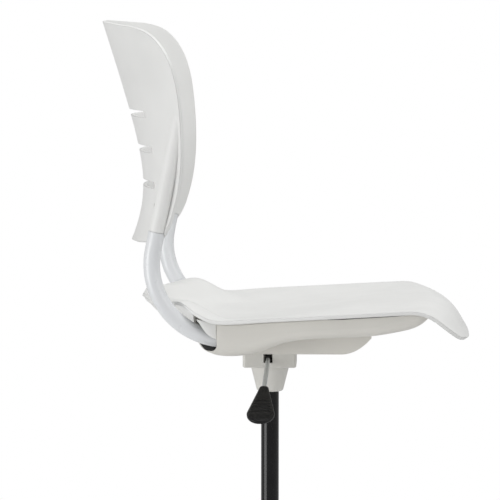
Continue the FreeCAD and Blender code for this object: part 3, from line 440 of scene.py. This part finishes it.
def recline_pads():
    points = [vertex.co for vertex in nodes["recline_buffers"].data.vertices]
    form = bmesh.new()
    for side in (-1, 1):
        own = [p for p in points if p.y * side > 0]
        low = Vector([min(p[i] for p in own) for i in range(3)])
        high = Vector([max(p[i] for p in own) for i in range(3)])
        made = bmesh.ops.create_cube(form, size=1.0)["verts"]
        for vertex in made:
            vertex.co = Vector([low[i] + (vertex.co[i] + 0.5) * (high[i] - low[i])
                                for i in range(3)])
        edges = {edge for vertex in made for edge in vertex.link_edges}
        bmesh.ops.bevel(form, geom=list(edges), offset=pad_rounding, segments=pad_segments,
                        profile=pad_profile, affect="EDGES")
    pads = piece("recline_pads", form, "buffer_rubber", "seat")
    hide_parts("recline_buffers")
    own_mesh(pads)


recline_pads()


# Cover in the mouth of each rail, above the tube

cover_lower = ((-0.1052, 0.0546), (-0.1012, 0.0497), (-0.0963, 0.0423), (-0.0905, 0.0348),
               (-0.084, 0.0297), (-0.0798, 0.0274), (-0.0756, 0.026))
cover_upper = ((-0.1052, 0.0562), (-0.1012, 0.0555), (-0.0963, 0.0543), (-0.0905, 0.0527),
               (-0.084, 0.051), (-0.0798, 0.0501), (-0.0756, 0.0493))
cover_outer = 0.203
cover_roll = 0.0024
cover_roll_power = 3
cover_wall = 0.0024
cover_columns = 24
cover_rows = 8
cover_rounding = 0.0006
cover_edge_angle = math.radians(50.0)


def mouth_cover(name, rail, side):
    floor_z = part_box(rail)[0].z
    form = bmesh.new()
    columns = []
    for foot, head in zip(smooth_line(cover_lower, cover_columns),
                          smooth_line(cover_upper, cover_columns)):
        column = []
        for j in range(cover_rows + 1):
            share = j / cover_rows
            x, z = foot.lerp(head, share)
            y = side * (cover_outer - cover_roll * (1 - share) ** cover_roll_power)
            column.append(form.verts.new((x, y, floor_z + z)))
        columns.append(column)
    for a, b in zip(columns, columns[1:]):
        for j in range(cover_rows):
            form.faces.new((a[j], b[j], b[j + 1], a[j + 1]))
    cover = piece(name, form, "shell_grey", "seat")
    wall = cover.modifiers.new("wall", "SOLIDIFY")
    wall.thickness = cover_wall
    wall.offset = 1.0 if cover.data.polygons[0].normal.y * side < 0 else -1.0
    edge = rounded_edges(cover, cover_rounding)
    edge.limit_method = "ANGLE"
    edge.angle_limit = cover_edge_angle


for hand, side in hands:
    mouth_cover("mouth_cover_" + hand, "rail_" + hand, side)


# Black strip on the inner edge of each rail's open tail: painted shade, standing in for the
# shadow deep in the rail's mouth

# The rail's lower line at its tail, from the rear tip to where its underside runs level.
tail_line = ((-0.1075, 0.0305), (-0.104, 0.0215), (-0.0995, 0.0142), (-0.094, 0.0086),
             (-0.087, 0.0048), (-0.079, 0.0022))
shade_strip_hang = 0.0026
shade_strip_height = 0.0146
shade_strip_inner = 0.1667
shade_strip_outer = 0.1684
shade_strip_rounding = 0.0005


def mouth_shade_strip(name, rail, side):
    floor_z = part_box(rail)[0].z
    line = [Vector((x, 0.0, floor_z + z)) for x, z in tail_line]
    inner, outer = side * shade_strip_inner, side * shade_strip_outer
    sections = []
    for i, point in enumerate(line):
        along = (line[min(i + 1, len(line) - 1)] - line[max(i - 1, 0)]).normalized()
        up = Vector((-along.z, 0.0, along.x))
        foot = point - up * shade_strip_hang
        top = point + up * shade_strip_height
        corners = ((foot, inner), (foot, outer), (top, outer), (top, inner))
        sections.append([(p.x, y, p.z) for p, y in corners])
    rounded_edges(piece(name, bar(sections), "bush_black", "seat"), shade_strip_rounding)


for hand, side in hands:
    mouth_shade_strip("mouth_shade_strip_" + hand, "rail_" + hand, side)


# Bead in the joint between the seat and each rail, and a black strip there that paints the dark
# shade of the gap at the front

rail_top = ((-0.071, 0.0487), (-0.055, 0.0480), (-0.04, 0.0485), (-0.025, 0.0498),
            (-0.01, 0.0510), (0.005, 0.0520), (0.02, 0.0528), (0.05, 0.0546), (0.09, 0.0572),
            (0.12, 0.0591), (0.15, 0.0610), (0.18, 0.0628), (0.212, 0.0646))
bead_line = rail_top[:9]
dark_gap_track = rail_top[8:]
strip_steps = 6
strip_end_share = 0.2


def joint_strip(name, rail, line, slot, side, outer, inner, down, up):
    # A strip of rectangular section that follows the rail's top edge and thins at its ends.
    floor_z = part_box(rail)[0].z
    count = strip_steps * len(line)
    sections = []
    for i, point in enumerate(smooth_line(line, count)):
        z = floor_z + point.y
        from_end = min(i, count - i) / count
        foot = z - down * min(1.0, from_end / strip_end_share)
        corners = ((outer, foot), (outer, z + up), (inner, z + up), (inner, foot))
        sections.append([(point.x, side * y, height) for y, height in corners])
    piece(name, bar(sections), slot, "seat").data.shade_flat()


for hand, side in hands:
    joint_strip("seat_bead_" + hand, "rail_" + hand, bead_line, "rail_grey", side,
                outer=0.2072, inner=0.2058, down=0.001, up=0.002)
    # The black strip is painted shade: it stands in for the shadow in the gap between seat and
    # rail at the front.
    joint_strip("seat_gap_shade_" + hand, "rail_" + hand, dark_gap_track, "bush_black", side,
                outer=0.2083, inner=0.206, down=0.0012, up=0.0012)


# Black sleeve on the lever's inner end, in the hub's slot: painted shade, standing in for the
# shadow inside the slot

sleeve_ends = ((-0.0425, -1.0), (-0.0215, 1.0))
sleeve_wall = 0.0003
sleeve_weld = 0.00001
sleeve_cut = 0.000001
eye_reach = 0.0035


def lever_shade_sleeve():
    # Follows the rod's own skin between two planes, and keeps clear of the pin through its eye.
    form = bmesh.new()
    form.from_mesh(nodes["lever_rod"].data)
    bmesh.ops.remove_doubles(form, verts=form.verts, dist=sleeve_weld)
    for end, way in sleeve_ends:
        bmesh.ops.bisect_plane(form, geom=form.verts[:] + form.edges[:] + form.faces[:],
                               dist=sleeve_cut, plane_co=(0.0, end, 0.0),
                               plane_no=(0.0, way, 0.0), clear_outer=True)
    bmesh.ops.holes_fill(form, edges=form.edges)
    form.normal_update()
    pin_low, pin_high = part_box("lever_pin")
    pin = (pin_low + pin_high) / 2
    ways = [vertex.normal.copy() for vertex in form.verts]
    for vertex, way in zip(form.verts, ways):
        if math.hypot(vertex.co.y - pin.y, vertex.co.z - pin.z) > eye_reach:
            vertex.co += way * sleeve_wall
    piece("lever_shade_sleeve", form, "bush_black", "lever")


lever_shade_sleeve()


# Light

white = (1.0, 1.0, 1.0, 1.0)
sky_low = 0.42
sky_high = 0.62
sky_heights = (-0.3, 0.9)
sky_front = 0.76
sky_depths = (-0.9, 0.2)
# Each lamp's name, place, aim, power and size.
lamps = (
    ("overhead", (0.3, -0.4, 3.2), (0.0, 0.0, 0.8), 35.0, 2.4),
    ("front_fill", (2.6, -2.2, 1.6), (0.0, 0.0, 0.9), 16.0, 1.6),
    ("rear_fill", (-2.9, -1.7, 0.55), (0.0, 0.0, 1.05), 44.0, 2.0),
)


def aimed(item, where, at):
    item.location = where
    way = Vector(at) - Vector(where)
    item.rotation_euler = way.to_track_quat("-Z", "Y").to_euler()


def multiply(tree, a, b):
    node = tree.nodes.new("ShaderNodeMath")
    node.operation = "MULTIPLY"
    tree.links.new(a, node.inputs[0])
    tree.links.new(b, node.inputs[1])
    return node.outputs["Value"]


def mixed(tree, share, first, second, output):
    # Shows the first shader, and the second by the share.
    mix = tree.nodes.new("ShaderNodeMixShader")
    tree.links.new(share, mix.inputs["Fac"])
    tree.links.new(first, mix.inputs[1])
    tree.links.new(second, mix.inputs[2])
    tree.links.new(mix.outputs["Shader"], tree.nodes[output].inputs["Surface"])


def seen(tree):
    return tree.nodes.new("ShaderNodeLightPath").outputs["Is Camera Ray"]


def studio():
    # A soft sky, dimmer below and in front, in front of a white backdrop.
    world = bpy.data.worlds.new("studio")
    bpy.context.scene.world = world
    world.use_nodes = True
    tree = world.node_tree
    sky = tree.nodes["Background"]
    sky.inputs["Color"].default_value = white
    split = tree.nodes.new("ShaderNodeSeparateXYZ")
    way = tree.nodes.new("ShaderNodeTexCoord")
    tree.links.new(way.outputs["Generated"], split.inputs["Vector"])
    height = spread(tree, split.outputs["Z"], *sky_heights, sky_low, sky_high)
    front = spread(tree, split.outputs["Y"], *sky_depths, sky_front, 1.0)
    tree.links.new(multiply(tree, height, front), sky.inputs["Strength"])
    backdrop = tree.nodes.new("ShaderNodeBackground")
    backdrop.inputs["Color"].default_value = white
    mixed(tree, seen(tree), sky.outputs["Background"], backdrop.outputs["Background"],
          "World Output")
    for name, where, at, power, size in lamps:
        lamp = bpy.data.lights.new(name, "AREA")
        lamp.energy = power
        lamp.size = size
        aimed(added(name, lamp), where, at)


# Floor

floor_reach = 2.3
floor_sides = 96
floor_fade = (0.5, 2.2)
floor_dark = (0.80, 0.80, 0.80)
floor_light = (0.83, 0.83, 0.83)
floor_scale = 3.0
floor_roughness = 0.7


def floor():
    # A pale disc whose rim fades out, so that no edge shows against the backdrop.
    turns = [2 * math.pi * i / floor_sides for i in range(floor_sides)]
    ring = [(floor_reach * math.cos(turn), floor_reach * math.sin(turn), 0.0) for turn in turns]
    mesh = bpy.data.meshes.new("floor")
    mesh.from_pydata(ring, [], [list(range(floor_sides))])
    sheet = added("floor", mesh)
    material, tree, shader, place = graph("floor")
    shade = shades(tree, noise(tree, place, floor_scale), floor_dark, floor_light)
    tree.links.new(shade, shader.inputs["Base Color"])
    put(shader, {"Roughness": floor_roughness})
    away = tree.nodes.new("ShaderNodeVectorMath")
    away.operation = "LENGTH"
    tree.links.new(place, away.inputs[0])
    fade = spread(tree, away.outputs["Value"], *floor_fade, 0.0, 1.0)
    fade.node.interpolation_type = "SMOOTHSTEP"
    clear = tree.nodes.new("ShaderNodeBsdfTransparent")
    mixed(tree, multiply(tree, fade, seen(tree)), shader.outputs["BSDF"], clear.outputs["BSDF"],
          "Material Output")
    mesh.materials.append(material)


# Camera

camera_place = (0.1015, -4.4, 1.3305)
camera_aim = (-0.0314, 0.0, 0.913)
camera_lens = 203.6
camera_sensor = 36.0
camera_reach = 60.0


def camera():
    view = bpy.data.cameras.new("camera")
    view.sensor_width = camera_sensor
    view.lens = camera_lens
    view.clip_end = camera_reach
    eye = added("camera", view)
    aimed(eye, camera_place, camera_aim)
    bpy.context.scene.camera = eye


studio()
floor()
camera()
bpy.context.scene.view_settings.view_transform = "Standard"
